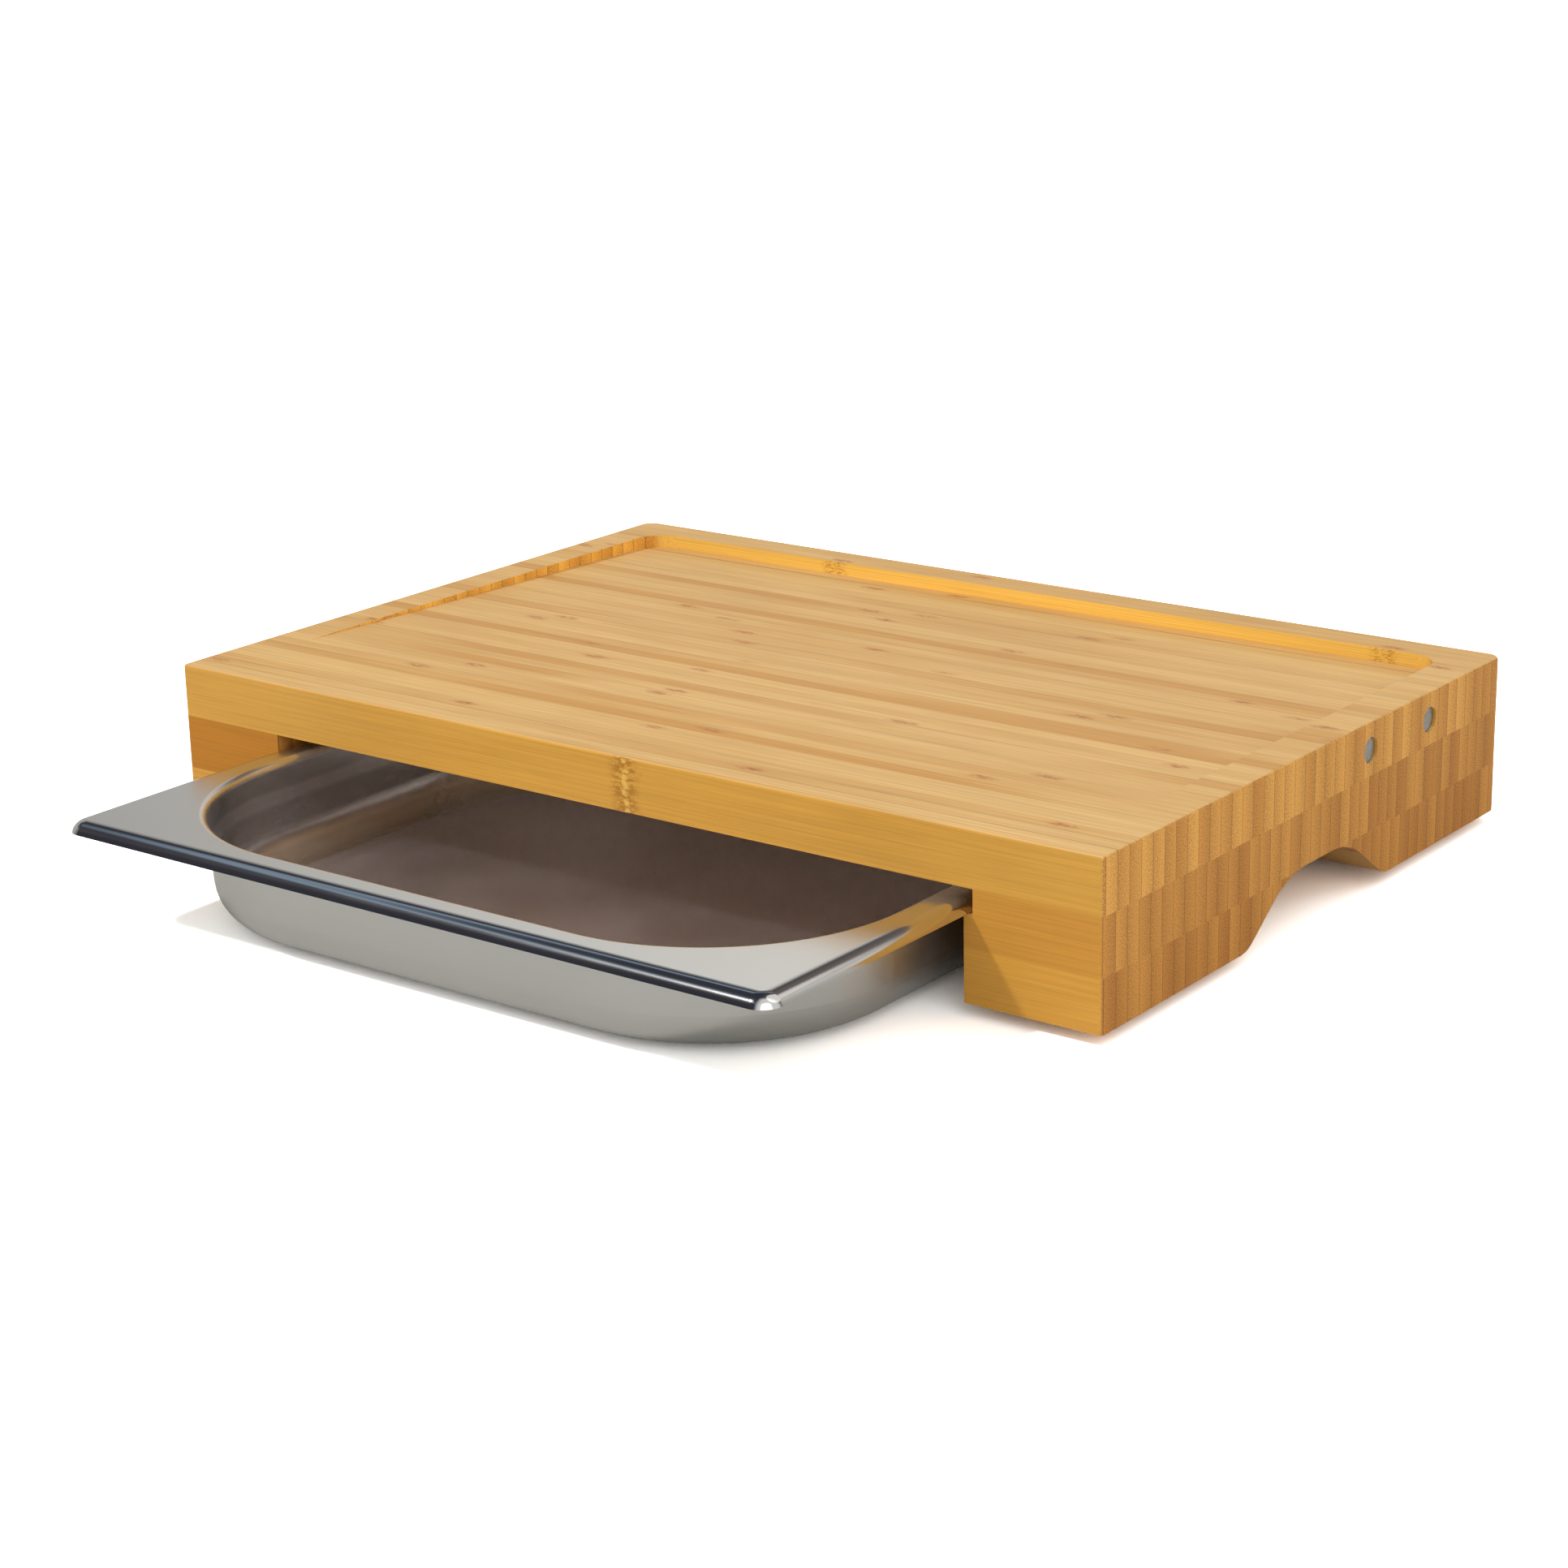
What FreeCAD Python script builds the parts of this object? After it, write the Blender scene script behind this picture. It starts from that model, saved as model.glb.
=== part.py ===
import FreeCAD, Part
import math
import os
from types import SimpleNamespace

import Sketcher

# A laminated bamboo cutting board that stands on four rubber feet. Three layers are glued on top
# of each other: a panel, two grooved rails and four legs with a finger grip between them. A back
# rail and a back sill close the rear. A pressed steel tray slides in the grooves, and stands here
# partly drawn. X runs along the board, Y towards the back, Z up. The origin lies on the worktop,
# in the middle of the footprint of the board with its drawn tray.

DIMENSIONS = {
    # board
    "board_length": 430.0,
    "board_depth": 294.0,
    "panel_thickness": 21.0,
    "rail_thickness": 21.5,
    "leg_thickness": 20.0,
    "front_corner_radius": 2.0,
    "rear_corner_radius": 6.0,
    "edge_round": 1.2,
    # wedge-shaped recess in the top
    "recess_border": 17.0,
    "recess_front": 52.0,
    "recess_depth": 5.5,
    "recess_corner": 13.0,
    # finger grip between the legs
    "grip_length": 111.0,
    "grip_slope": 35.6,
    "grip_overrun": 0.5,
    "grip_lower_radius": 14.0,
    "grip_upper_radius": 40.0,
    # tray
    "tray_length": 325.0,
    "tray_depth": 265.0,
    "tray_height": 40.0,
    "tray_sheet": 0.8,
    "lip_height": 4.4,
    "lip_radius": 6.2,
    "lip_corner": 8.0,
    "flange_width": 12.2,
    "bend_radius": 3.0,
    "mouth_radius": 78.0,
    "wall_draft": 4.0,
    "floor_radius": 15.5,
    "tray_draw": 112.0,
    # bay and grooves that hold the tray
    "side_clearance": 1.2,
    "stop_clearance": 1.0,
    "slide_clearance": 0.3,
    "groove_height": 9.0,
    "groove_depth": 3.6,
    # magnets in the right-hand end face
    "magnet_diameter": 10.0,
    "magnet_length": 5.0,
    "magnet_bevel": 0.4,
    "magnet_sink": 1.0,
    "magnet_clearance": 0.1,
    "magnet_drop": 11.0,
    "magnet_rear_inset": 62.0,
    "magnet_spacing": 47.0,
    # feet and their screws
    "foot_height": 5.0,
    "foot_diameter": 16.0,
    "foot_inset": 20.0,
    "foot_taper": 1.0,
    "foot_land": 1.2,
    "screw_diameter": 3.0,
    "screw_length": 14.0,
    "screw_tip": 3.0,
    "screw_head_diameter": 6.0,
    "screw_head_height": 1.8,
    "screw_clearance": 0.15,
}

TOLERANCE = 0.01


class Size:
    """A length that knows its present value and the sheet expression behind it."""

    def __init__(self, value, text):
        self.value = value
        self.text = text

    def __add__(self, other):
        other = as_size(other)
        return Size(self.value + other.value, "(%s + %s)" % (self.text, other.text))

    def __sub__(self, other):
        other = as_size(other)
        return Size(self.value - other.value, "(%s - %s)" % (self.text, other.text))

    def __mul__(self, other):
        other = as_size(other)
        return Size(self.value * other.value, "(%s * %s)" % (self.text, other.text))

    def __truediv__(self, other):
        other = as_size(other)
        return Size(self.value / other.value, "(%s / %s)" % (self.text, other.text))

    def __neg__(self):
        return Size(-self.value, "(-%s)" % self.text)


def as_size(number):
    if isinstance(number, Size):
        return number
    return Size(float(number), repr(float(number)))


def sine(angle):
    """The sine of a size that is in degrees."""
    return Size(math.sin(math.radians(angle.value)), "sin(%s * 1deg)" % angle.text)


def cosine(angle):
    """The cosine of a size that is in degrees."""
    return Size(math.cos(math.radians(angle.value)), "cos(%s * 1deg)" % angle.text)


def root(size):
    """The square root of a product of two lengths."""
    return Size(math.sqrt(size.value), "sqrt(%s)" % size.text)


# ---------------------------------------------------------------- document and sheet

doc = FreeCAD.newDocument("cutting_board")
sheet = doc.addObject("Spreadsheet::Sheet", "dims")
for row, (name, number) in enumerate(DIMENSIONS.items(), start=1):
    sheet.set("A%d" % row, name)
    sheet.set("B%d" % row, str(number))
    sheet.setAlias("B%d" % row, name)
doc.recompute()
dim = SimpleNamespace(**{name: Size(number, "dims." + name) for name, number in DIMENSIONS.items()})

ZERO = as_size(0)
half_length = dim.board_length / 2
half_depth = dim.board_depth / 2
tray_half_length = dim.tray_length / 2
tray_half_depth = dim.tray_depth / 2
rail_inner = tray_half_length + dim.side_clearance - dim.groove_depth
bay_end = dim.tray_depth + dim.stop_clearance - half_depth
board_y = dim.tray_draw / 2
rail_bottom = dim.foot_height + dim.leg_thickness
panel_bottom = rail_bottom + dim.rail_thickness
ledge = panel_bottom - dim.groove_height

# The lip is a part of a round that ends before it is upright, so its full round reaches further.
lip_reach = root((dim.lip_radius * 2 - dim.lip_height) * dim.lip_height)
lip_overhang = dim.lip_radius - lip_reach

# Each end of the grip rises over two arcs and a straight run between them, at the grip's slope.
grip_height = dim.leg_thickness + dim.grip_overrun
grip_radii = dim.grip_lower_radius + dim.grip_upper_radius
grip_straight = (grip_height - grip_radii * (as_size(1) - cosine(dim.grip_slope))) / sine(dim.grip_slope)
grip_run = grip_radii * sine(dim.grip_slope) + grip_straight * cosine(dim.grip_slope)
grip_half_flat = dim.grip_length / 2 - grip_run


# ---------------------------------------------------------------- helpers

def bind(item, path, size):
    """Tie one property of a document object to its size."""
    item.setExpression(path, size.text)


def new_body(label, x=ZERO, y=ZERO, z=ZERO, turn=0):
    """A body with its own label, placed at sizes from the sheet and turned about Z in degrees."""
    body = doc.addObject("PartDesign::Body", label)
    body.Label = label
    body.Placement = FreeCAD.Placement(FreeCAD.Vector(), FreeCAD.Rotation(FreeCAD.Vector(0, 0, 1), turn))
    for axis, size in (("x", x), ("y", y), ("z", z)):
        bind(body, "Placement.Base." + axis, size)
    return body


def new_sketch(body, name, plane, offset=ZERO):
    """A sketch on one of the body's own origin planes, moved along the plane's normal."""
    sketch = body.newObject("Sketcher::SketchObject", name)
    support = [f for f in body.Origin.OriginFeatures if f.Role == plane][0]
    sketch.AttachmentSupport = [(support, "")]
    sketch.MapMode = "FlatFace"
    bind(sketch, "AttachmentOffset.Base.z", offset)
    return sketch


def limit(sketch, kind, size, *points):
    """Add a dimension to a sketch and bind it to its size."""
    start = math.radians(size.value) if kind == "Angle" else size.value
    index = sketch.addConstraint(Sketcher.Constraint(kind, *points, start))
    bind(sketch, "Constraints[%d]" % index, size)


def hold(sketch, geometry, point, x, y):
    """Hold a point at its distances from the sketch's origin."""
    for kind, axis, size in (("DistanceX", -2, x), ("DistanceY", -1, y)):
        if size is ZERO:
            sketch.addConstraint(Sketcher.Constraint("PointOnObject", geometry, point, axis))
        else:
            limit(sketch, kind, size, -1, 1, geometry, point)


def vector(x, y):
    return FreeCAD.Vector(x.value, y.value, 0)


def polygon(sketch, corners):
    """A closed outline of straight lines through corners given as pairs of sizes."""
    first = sketch.GeometryCount
    count = len(corners)
    for i in range(count):
        line = Part.LineSegment(vector(*corners[i]), vector(*corners[(i + 1) % count]))
        sketch.addGeometry(line)
    for i in range(count):
        following = first + (i + 1) % count
        sketch.addConstraint(Sketcher.Constraint("Coincident", first + i, 2, following, 1))
        hold(sketch, first + i, 1, *corners[i])


def rectangle(sketch, x_low, x_high, y_low, y_high):
    polygon(sketch, [(x_low, y_low), (x_high, y_low), (x_high, y_high), (x_low, y_high)])


def circle(sketch, x, y, diameter):
    index = sketch.addGeometry(Part.Circle(vector(x, y), FreeCAD.Vector(0, 0, 1), diameter.value / 2))
    limit(sketch, "Diameter", diameter, index)
    hold(sketch, index, 3, x, y)


def rounded_rectangle(sketch, half_x, half_y, radius):
    """A rectangle about the origin with four equal round corners."""
    x, y, r = half_x.value, half_y.value, radius.value
    up = FreeCAD.Vector(0, 0, 1)
    corners = [(x - r, y - r, 0), (r - x, y - r, 90), (r - x, r - y, 180), (x - r, r - y, 270)]
    for centre_x, centre_y, start in corners:
        full = Part.Circle(FreeCAD.Vector(centre_x, centre_y, 0), up, r)
        sketch.addGeometry(Part.ArcOfCircle(full, math.radians(start), math.radians(start + 90)))
    for i in range(4):
        line = Part.LineSegment(sketch.Geometry[i].EndPoint, sketch.Geometry[(i + 1) % 4].StartPoint)
        sketch.addGeometry(line)
    for i in range(4):
        sketch.addConstraint(Sketcher.Constraint("Tangent", i, 2, 4 + i, 1))
        sketch.addConstraint(Sketcher.Constraint("Tangent", 4 + i, 2, (i + 1) % 4, 1))
        direction = "Horizontal" if i % 2 == 0 else "Vertical"
        sketch.addConstraint(Sketcher.Constraint(direction, 4 + i))
    for i in range(1, 4):
        sketch.addConstraint(Sketcher.Constraint("Equal", 0, i))
    limit(sketch, "Radius", radius, 0)
    limit(sketch, "DistanceX", half_x, -1, 1, 0, 1)
    limit(sketch, "DistanceY", half_y, -1, 1, 0, 2)
    limit(sketch, "DistanceX", -half_x, -1, 1, 2, 1)
    limit(sketch, "DistanceY", -half_y, -1, 1, 2, 2)


def settle(body, feature, grows=None):
    """Recompute, and make sure that a feature added or removed material as it should."""
    before = body.Shape.Volume if body.Shape.Solids else 0.0
    doc.recompute()
    change = feature.Shape.Volume - before
    if feature.State and set(feature.State) & {"Invalid", "Error"}:
        raise RuntimeError("%s failed: %s" % (feature.Label, feature.getStatusString()))
    if grows is not None and (change > 0) != grows:
        raise RuntimeError("%s changed the volume the wrong way" % feature.Label)
    return feature


def pad(body, sketch, length, downward=False, draft=None):
    feature = body.newObject("PartDesign::Pad", sketch.Name + "_pad")
    feature.Profile = sketch
    feature.Reversed = downward
    bind(feature, "Length", length)
    if draft is not None:
        bind(feature, "TaperAngle", draft)
    return settle(body, feature, grows=True)


def pocket(body, sketch, length, upward=False, draft=None, both_ways=False):
    feature = body.newObject("PartDesign::Pocket", sketch.Name + "_pocket")
    feature.Profile = sketch
    feature.Reversed = upward
    bind(feature, "Length", length)
    if draft is not None:
        bind(feature, "TaperAngle", draft)
    if both_ways:
        feature.Midplane = True
    return settle(body, feature, grows=False)


def revolve(body, sketch):
    """Turn a sketch on the XZ plane a full round about Z."""
    feature = body.newObject("PartDesign::Revolution", sketch.Name + "_turned")
    feature.Profile = sketch
    feature.ReferenceAxis = (sketch, ["V_Axis"])
    feature.Angle = 360
    return settle(body, feature, grows=True)


def dress_edges(body, kind, name, path, size, wanted):
    """Dress the edges of the body's present shape for which wanted(edge) is true."""
    base = body.Tip
    names = ["Edge%d" % (i + 1) for i, edge in enumerate(base.Shape.Edges) if wanted(edge)]
    if not names:
        raise RuntimeError("%s finds no edge" % name)
    feature = body.newObject("PartDesign::" + kind, name)
    feature.Base = (base, names)
    bind(feature, path, size)
    return settle(body, feature)


def round_edges(body, name, radius, wanted):
    return dress_edges(body, "Fillet", name, "Radius", radius, wanted)


def bevel_edges(body, name, width, wanted):
    return dress_edges(body, "Chamfer", name, "Size", width, wanted)


def near(number, size):
    return abs(number - as_size(size).value) < TOLERANCE


def flat_at(edge, z):
    """True for an edge that lies all in the plane at height z."""
    box = edge.BoundBox
    return near(box.ZMin, z) and near(box.ZMax, z)


def upright_at(edge, x, y):
    """True for an upright edge at y, at the distance x to the left or the right of the middle."""
    box = edge.BoundBox
    straight = box.XLength < TOLERANCE and box.YLength < TOLERANCE
    return straight and near(abs(box.XMin), x) and near(box.YMin, y)


def round_corners(body, name, radius, y):
    """Round the upright edges where the board's end faces meet its front or its back, at y."""
    round_edges(body, name, radius, lambda edge: upright_at(edge, half_length, y))


# ---------------------------------------------------------------- panel

def make_top_panel():
    """The cutting surface, with a recess that deepens towards the back, and two magnet holes."""
    body = new_body("top_panel", y=board_y, z=panel_bottom)
    outline = new_sketch(body, "panel_outline", "XY_Plane")
    rectangle(outline, -half_length, half_length, -half_depth, half_depth)
    pad(body, outline, dim.panel_thickness)
    round_corners(body, "panel_front_corners", dim.front_corner_radius, -half_depth)
    round_corners(body, "panel_rear_corners", dim.rear_corner_radius, half_depth)
    round_edges(body, "panel_top_edges", dim.edge_round,
                lambda edge: flat_at(edge, dim.panel_thickness))

    wedge = new_sketch(body, "recess_wedge", "YZ_Plane")
    wedge_start = dim.recess_front - half_depth
    wedge_end = half_depth - dim.recess_border
    top = dim.panel_thickness
    polygon(wedge, [(wedge_start, top), (wedge_end, top - dim.recess_depth), (wedge_end, top)])
    recess_length = dim.board_length - dim.recess_border * 2
    pocket(body, wedge, recess_length, both_ways=True)
    round_edges(body, "recess_corners", dim.recess_corner,
                lambda edge: upright_at(edge, recess_length / 2, wedge_end))

    holes = new_sketch(body, "magnet_holes", "YZ_Plane", offset=half_length)
    hole_diameter = dim.magnet_diameter + dim.magnet_clearance * 2
    for place in magnet_places():
        circle(holes, place, dim.panel_thickness - dim.magnet_drop, hole_diameter)
    pocket(body, holes, dim.magnet_sink + dim.magnet_length)
    return body


def magnet_places():
    """Distances of the two magnets from the board's middle, front one first."""
    rear = half_depth - dim.magnet_rear_inset
    return [rear - dim.magnet_spacing, rear]


def make_magnet(label, place):
    """A plain disc magnet that lies against the bottom of its hole."""
    inner_face = half_length - dim.magnet_sink - dim.magnet_length
    body = new_body(label, inner_face, board_y + place, panel_bottom + dim.panel_thickness - dim.magnet_drop)
    face = new_sketch(body, label + "_disc", "YZ_Plane")
    circle(face, ZERO, ZERO, dim.magnet_diameter)
    pad(body, face, dim.magnet_length)
    bevel_edges(body, label + "_rim", dim.magnet_bevel,
                lambda edge: near(edge.BoundBox.XLength, 0))
    return body


# ---------------------------------------------------------------- rails, legs and back

def line(sketch, x_from, y_from, x_to, y_to):
    ends = FreeCAD.Vector(x_from, y_from, 0), FreeCAD.Vector(x_to, y_to, 0)
    return sketch.addGeometry(Part.LineSegment(*ends))


def arc(sketch, centre_x, centre_y, radius, start, end):
    """An arc that runs against the clock between two angles in degrees."""
    full = Part.Circle(FreeCAD.Vector(centre_x, centre_y, 0), FreeCAD.Vector(0, 0, 1), radius)
    return sketch.addGeometry(Part.ArcOfCircle(full, math.radians(start), math.radians(end)))


def join(sketch, *joints):
    """Join pairs of end points, each given as (kind, geometry, end, geometry, end)."""
    for kind, *ends in joints:
        sketch.addConstraint(Sketcher.Constraint(kind, *ends))


def make_right_rail():
    """Middle layer: its lower edge is the crown of the grip, its groove carries the tray."""
    body = new_body("right_rail", y=board_y, z=rail_bottom)
    side = new_sketch(body, "rail_side", "YZ_Plane", offset=rail_inner)
    radius, rise = dim.grip_upper_radius.value, dim.grip_overrun.value
    flat, deep, thick = grip_half_flat.value, half_depth.value, dim.rail_thickness.value
    centre_y = dim.grip_overrun - dim.grip_upper_radius
    reach = flat + math.sqrt(radius ** 2 - centre_y.value ** 2)
    start = math.degrees(math.asin(-centre_y.value / radius))

    front = line(side, -deep, 0, -reach, 0)
    front_arc = arc(side, -flat, centre_y.value, radius, 90, 180 - start)
    crown = line(side, -flat, rise, flat, rise)
    rear_arc = arc(side, flat, centre_y.value, radius, start, 90)
    rear = line(side, reach, 0, deep, 0)
    back = line(side, deep, 0, deep, thick)
    top = line(side, deep, thick, -deep, thick)
    face = line(side, -deep, thick, -deep, 0)
    join(side, ("Coincident", front, 2, front_arc, 2), ("Coincident", front_arc, 1, crown, 1),
         ("Coincident", crown, 2, rear_arc, 2), ("Coincident", rear_arc, 1, rear, 1),
         ("Coincident", rear, 2, back, 1), ("Coincident", back, 2, top, 1),
         ("Coincident", top, 2, face, 1), ("Coincident", face, 2, front, 1),
         ("PointOnObject", front, 2, -1), ("PointOnObject", rear, 1, -1))
    hold(side, front, 1, -half_depth, ZERO)
    hold(side, back, 1, half_depth, ZERO)
    hold(side, top, 1, half_depth, dim.rail_thickness)
    hold(side, face, 1, -half_depth, dim.rail_thickness)
    hold(side, front_arc, 3, -grip_half_flat, centre_y)
    hold(side, rear_arc, 3, grip_half_flat, centre_y)
    hold(side, crown, 1, -grip_half_flat, dim.grip_overrun)
    hold(side, crown, 2, grip_half_flat, dim.grip_overrun)
    pad(body, side, half_length - rail_inner)

    groove = new_sketch(body, "rail_groove", "XY_Plane", offset=dim.rail_thickness)
    rectangle(groove, rail_inner, rail_inner + dim.groove_depth, -half_depth, bay_end)
    pocket(body, groove, dim.groove_height)
    round_corners(body, "rail_front_corner", dim.front_corner_radius, -half_depth)
    round_corners(body, "rail_rear_corner", dim.rear_corner_radius, half_depth)
    return body


def make_leg(label, corner_radius, turn=0):
    """Lower layer: an S-curve of two arcs and a straight run forms one end of the grip."""
    body = new_body(label, y=board_y, z=dim.foot_height, turn=turn)
    side = new_sketch(body, label + "_side", "YZ_Plane", offset=rail_inner)
    low_radius, high_radius = dim.grip_lower_radius.value, dim.grip_upper_radius.value
    slope = dim.grip_slope.value
    rise, across = math.sin(math.radians(slope)), math.cos(math.radians(slope))
    deep, thick, toe = half_depth.value, dim.leg_thickness.value, -dim.grip_length.value / 2
    high_x, high_y = -grip_half_flat.value, grip_height.value - high_radius
    tip = math.degrees(math.asin((thick - high_y) / high_radius))

    underside = line(side, -deep, 0, toe, 0)
    low_arc = arc(side, toe, low_radius, low_radius, -90, slope - 90)
    run_up = line(side, toe + low_radius * rise, low_radius * (1 - across),
                  high_x - high_radius * rise, high_y + high_radius * across)
    high_arc = arc(side, high_x, high_y, high_radius, 180 - tip, 90 + slope)
    top = line(side, high_x - high_radius * math.cos(math.radians(tip)), thick, -deep, thick)
    face = line(side, -deep, thick, -deep, 0)
    join(side, ("Coincident", underside, 2, low_arc, 1), ("Tangent", low_arc, 2, run_up, 1),
         ("Tangent", run_up, 2, high_arc, 2), ("Coincident", high_arc, 1, top, 1),
         ("Coincident", top, 2, face, 1), ("Coincident", face, 2, underside, 1))
    hold(side, underside, 1, -half_depth, ZERO)
    hold(side, low_arc, 3, -dim.grip_length / 2, dim.grip_lower_radius)
    hold(side, underside, 2, -dim.grip_length / 2, ZERO)
    limit(side, "Angle", dim.grip_slope, run_up)
    limit(side, "Radius", dim.grip_upper_radius, high_arc)
    limit(side, "DistanceY", grip_height - dim.grip_upper_radius, -1, 1, high_arc, 3)
    hold(side, face, 1, -half_depth, dim.leg_thickness)
    limit(side, "DistanceY", dim.leg_thickness, -1, 1, top, 1)
    pad(body, side, half_length - rail_inner)
    round_corners(body, label + "_corner", corner_radius, -half_depth)

    pilot = new_sketch(body, label + "_pilot", "XY_Plane")
    circle(pilot, half_length - dim.foot_inset, dim.foot_inset - half_depth,
           dim.screw_diameter + dim.screw_clearance * 2)
    pocket(body, pilot, dim.screw_length, upward=True)
    return body


def make_back_block(label, thickness, z):
    """A plain block between the side blocks, which closes the rear of the bay."""
    body = new_body(label, y=board_y, z=z)
    outline = new_sketch(body, label + "_outline", "XY_Plane")
    rectangle(outline, -rail_inner, rail_inner, bay_end, half_depth)
    pad(body, outline, thickness)
    return body


def mirror(label, source):
    """The mirror image of a piece at the board's other end."""
    image = doc.addObject("Part::Mirroring", label)
    image.Label = label
    image.Source = source
    image.Normal = FreeCAD.Vector(1, 0, 0)
    return image


# ---------------------------------------------------------------- feet and screws

def make_foot(label, side_x, side_y):
    """A turned rubber foot, narrower below, with a deep seat for the head of its screw."""
    body = new_body(label, (half_length - dim.foot_inset) * side_x,
                    board_y + (half_depth - dim.foot_inset) * side_y)
    half = new_sketch(body, label + "_section", "XZ_Plane")
    bore = dim.screw_diameter / 2 + dim.screw_clearance
    seat = dim.screw_head_diameter / 2 + dim.screw_clearance
    seat_top = dim.foot_height - dim.foot_land
    rim = dim.foot_diameter / 2
    polygon(half, [(bore, seat_top), (seat, seat_top), (seat, ZERO), (rim - dim.foot_taper, ZERO),
                   (rim, dim.foot_height), (bore, dim.foot_height)])
    revolve(body, half)
    return body


def make_foot_screw(label, side_x, side_y):
    """A wood screw, head down, whose head bears on the land inside its foot."""
    head_top = dim.foot_height - dim.foot_land
    body = new_body(label, (half_length - dim.foot_inset) * side_x,
                    board_y + (half_depth - dim.foot_inset) * side_y, head_top)
    half = new_sketch(body, label + "_section", "XZ_Plane")
    shank = dim.screw_diameter / 2
    head = dim.screw_head_diameter / 2
    tip = dim.foot_land + dim.screw_length - dim.screw_clearance
    polygon(half, [(ZERO, -dim.screw_head_height), (head, -dim.screw_head_height), (head, ZERO),
                   (shank, ZERO), (shank, tip - dim.screw_tip), (ZERO, tip)])
    revolve(body, half)
    return body


# ---------------------------------------------------------------- tray

def make_tray():
    """One pressed sheet: a flange with a rolled lip round a deep mouth, drafted walls, round floor."""
    centre_y = board_y - half_depth - dim.tray_draw + tray_half_depth
    body = new_body("tray", y=centre_y, z=ledge + dim.slide_clearance + dim.lip_height)
    rim_x = tray_half_length + lip_overhang
    rim_y = tray_half_depth + lip_overhang
    rim_corner = dim.lip_corner + lip_overhang
    rim_depth = dim.lip_radius + dim.tray_sheet

    flange = new_sketch(body, "flange_outline", "XY_Plane")
    rounded_rectangle(flange, rim_x, rim_y, rim_corner)
    pad(body, flange, rim_depth, downward=True)

    hollow = new_sketch(body, "lip_hollow", "XY_Plane", offset=-rim_depth)
    rounded_rectangle(hollow, rim_x - dim.tray_sheet, rim_y - dim.tray_sheet, rim_corner - dim.tray_sheet)
    pocket(body, hollow, dim.lip_radius, upward=True)
    round_edges(body, "lip_inside", dim.lip_radius - dim.tray_sheet,
                lambda edge: flat_at(edge, -dim.tray_sheet))
    round_edges(body, "lip_roll", dim.lip_radius, lambda edge: flat_at(edge, 0))
    trim = new_sketch(body, "lip_trim", "XY_Plane", offset=-dim.lip_height)
    rectangle(trim, -rim_x, rim_x, -rim_y, rim_y)
    pocket(body, trim, rim_depth - dim.lip_height)

    wall_x = tray_half_length - dim.flange_width - dim.bend_radius
    wall_y = tray_half_depth - dim.flange_width - dim.bend_radius
    wall_corner = dim.mouth_radius - dim.bend_radius
    cup = new_sketch(body, "cup_outline", "XY_Plane")
    rounded_rectangle(cup, wall_x + dim.tray_sheet, wall_y + dim.tray_sheet,
                      wall_corner + dim.tray_sheet)
    pad(body, cup, dim.tray_height, downward=True, draft=-dim.wall_draft)

    cavity = new_sketch(body, "cavity_outline", "XY_Plane")
    rounded_rectangle(cavity, wall_x, wall_y, wall_corner)
    floor_top = dim.tray_height - dim.tray_sheet
    pocket(body, cavity, floor_top, draft=-dim.wall_draft)
    round_edges(body, "cavity_floor_round", dim.floor_radius - dim.tray_sheet,
                lambda edge: flat_at(edge, -floor_top))
    round_edges(body, "cup_floor_round", dim.floor_radius,
                lambda edge: flat_at(edge, -dim.tray_height))
    round_edges(body, "mouth_bend", dim.bend_radius,
                lambda edge: flat_at(edge, 0) and edge.BoundBox.XMax < wall_x.value + TOLERANCE
                and edge.BoundBox.YMax < wall_y.value + TOLERANCE)
    round_edges(body, "under_bend", dim.bend_radius - dim.tray_sheet,
                lambda edge: flat_at(edge, -dim.tray_sheet)
                and edge.BoundBox.XMax < (wall_x + dim.tray_sheet).value + TOLERANCE
                and edge.BoundBox.YMax < (wall_y + dim.tray_sheet).value + TOLERANCE)
    return body


# ---------------------------------------------------------------- assembly

CORNERS = {"front_left": (-1, -1), "front_right": (1, -1), "rear_left": (-1, 1), "rear_right": (1, 1)}

right_rail = make_right_rail()
front_right_leg = make_leg("front_right_leg", dim.front_corner_radius)
rear_left_leg = make_leg("rear_left_leg", dim.rear_corner_radius, turn=180)
pieces = [
    make_top_panel(),
    right_rail,
    mirror("left_rail", right_rail),
    make_back_block("back_rail", dim.rail_thickness, rail_bottom),
    front_right_leg,
    mirror("front_left_leg", front_right_leg),
    rear_left_leg,
    mirror("rear_right_leg", rear_left_leg),
    make_back_block("back_sill", dim.leg_thickness, dim.foot_height),
    make_tray(),
]
for name, place in zip(("front_magnet", "rear_magnet"), magnet_places()):
    pieces.append(make_magnet(name, place))
for corner, (side_x, side_y) in CORNERS.items():
    pieces.append(make_foot(corner + "_foot", side_x, side_y))
    pieces.append(make_foot_screw(corner + "_foot_screw", side_x, side_y))

doc.recompute()
for item in doc.Objects:
    if set(item.State) & {"Invalid", "Error"}:
        raise RuntimeError("%s failed: %s" % (item.Label, item.getStatusString()))
for piece in pieces:
    if piece.Shape.isNull() or not piece.Shape.isValid() or not piece.Shape.Solids:
        raise RuntimeError("%s has no valid solid" % piece.Label)

os.makedirs("parts", exist_ok=True)
for piece in pieces:
    piece.Shape.exportStep("parts/%s.step" % piece.Label)
    box = piece.Shape.BoundBox
    print("%-26s %9.1f mm3  x %7.2f..%7.2f  y %7.2f..%7.2f  z %6.2f..%6.2f" % (
        piece.Label, piece.Shape.Volume, box.XMin, box.XMax, box.YMin, box.YMax, box.ZMin, box.ZMax))
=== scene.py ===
import math

import bpy
from mathutils import Matrix, Vector

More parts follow.
